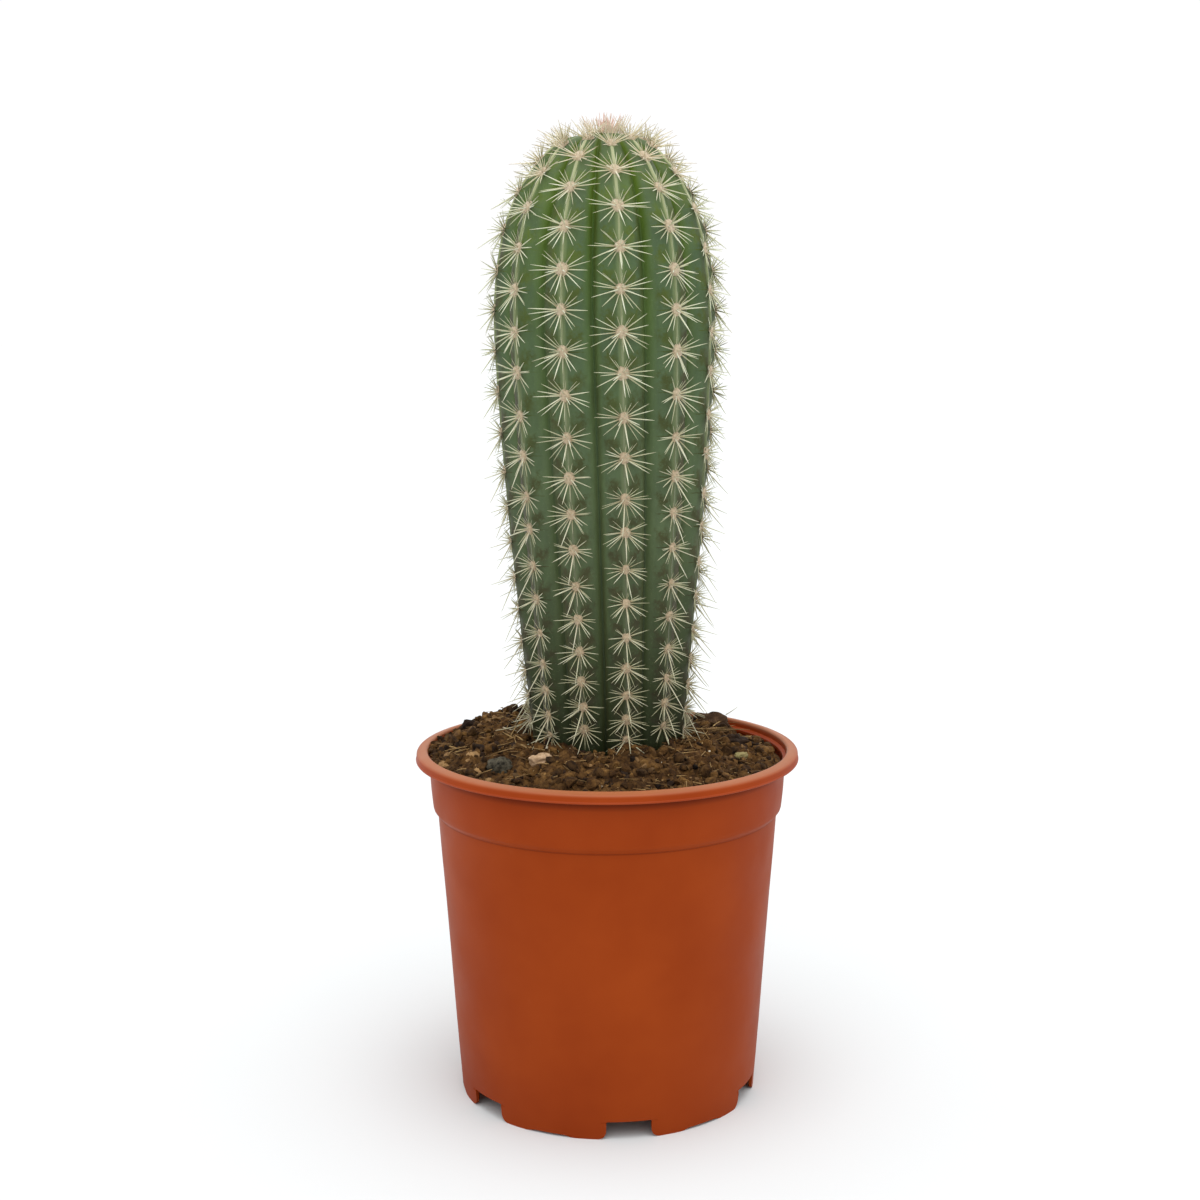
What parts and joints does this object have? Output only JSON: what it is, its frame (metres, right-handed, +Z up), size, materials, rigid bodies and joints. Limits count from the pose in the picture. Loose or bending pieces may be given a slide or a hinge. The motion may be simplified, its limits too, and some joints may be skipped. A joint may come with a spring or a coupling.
{
  "type": "potted tall cactus",
  "caption": "Tall ribbed columnar cactus with star-shaped spine clusters, growing in soil in a thin round terracotta-coloured plastic nursery pot.",
  "frame": {"origin": "centre of the pot's foot circle, on the surface it stands on", "axes": "+Z up along the pot's axis and the stem; -Y is the side shown in the picture; +X is to its right"},
  "size_m": [0.17, 0.17, 0.4316],
  "materials": {
    "pot": "satin moulded plastic, terracotta orange",
    "soil": "rough potting mix of peat, fibre and bark",
    "stem": "waxy green skin, satin",
    "spines": "dry cream spines on beige felt",
    "crown_spines": "young pinkish spines"
  },
  "bodies": {
    "root": {"pot": "pot", "soil": "soil", "stem": "stem", "rib_spines_01": "spines", "rib_spines_02": "spines", "rib_spines_03": "spines", "rib_spines_04": "spines", "rib_spines_05": "spines", "rib_spines_06": "spines", "rib_spines_07": "spines", "rib_spines_08": "spines", "rib_spines_09": "spines", "rib_spines_10": "spines", "rib_spines_11": "spines", "rib_spines_12": "spines", "crown_spines": "crown_spines"}
  },
  "joints": []
}
